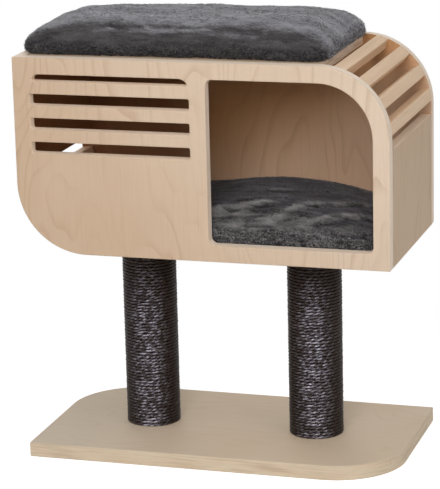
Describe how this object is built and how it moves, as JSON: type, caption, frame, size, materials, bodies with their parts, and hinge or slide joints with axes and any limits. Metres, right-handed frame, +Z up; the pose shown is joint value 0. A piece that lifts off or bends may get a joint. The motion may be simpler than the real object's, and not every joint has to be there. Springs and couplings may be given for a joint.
{
  "type": "cat tree",
  "caption": "Cat tree: a plywood den with a wide entrance, slotted window and slatted round corners, on rope-wound scratching posts over a base plate, with loose plush pads to lie on.",
  "frame": {"origin": "centre of the base plate's underside", "axes": "+Z up, -Y to the front with the entrance, +X to the entrance's side"},
  "size_m": [0.6, 0.32, 0.7043],
  "materials": {
    "birch_plywood": "clear matt lacquer over birch veneer",
    "birch_slat": "clear matt lacquer",
    "paper_tube": "pressed paper board",
    "pine": "raw turned pine",
    "sisal": "dyed dark twisted fibre, a few loose pale ends",
    "zinc_steel": "bright zinc",
    "beech": "raw turned beech",
    "plush": "grey curly plush"
  },
  "bodies": {
    "tree": {"base_plate": "birch_plywood", "front_panel": "birch_plywood", "back_panel": "birch_plywood", "left_side_panel": "birch_plywood", "right_side_panel": "birch_plywood", "top_panel": "birch_plywood", "floor_panel": "birch_plywood", "upper_slat_1": "birch_slat", "upper_slat_2": "birch_slat", "upper_slat_3": "birch_slat", "upper_slat_4": "birch_slat", "lower_slat_1": "birch_slat", "lower_slat_2": "birch_slat", "lower_slat_3": "birch_slat", "lower_slat_4": "birch_slat", "post_core_left": "paper_tube", "post_core_right": "paper_tube", "post_plug_left_lower": "pine", "post_plug_left_upper": "pine", "post_plug_right_lower": "pine", "post_plug_right_upper": "pine", "sisal_rope_left": "sisal", "sisal_rope_right": "sisal", "threaded_inserts": "zinc_steel", "base_bolts": "zinc_steel", "base_washers": "zinc_steel", "den_bolts": "zinc_steel", "den_washers": "zinc_steel", "dowels": "beech"},
    "roof_pad": {"top_cushion": "plush"},
    "den_pad": {"inner_cushion": "plush"}
  },
  "joints": [
    {"name": "top_cushion_lift", "type": "slide", "parent": "tree", "child": "roof_pad", "axis": [0, 0, 1], "range_m": [0, 0.2]},
    {"name": "inner_cushion_lift", "type": "slide", "parent": "tree", "child": "den_pad", "axis": [0, 0, 1], "range_m": [0, 0.1]}
  ]
}
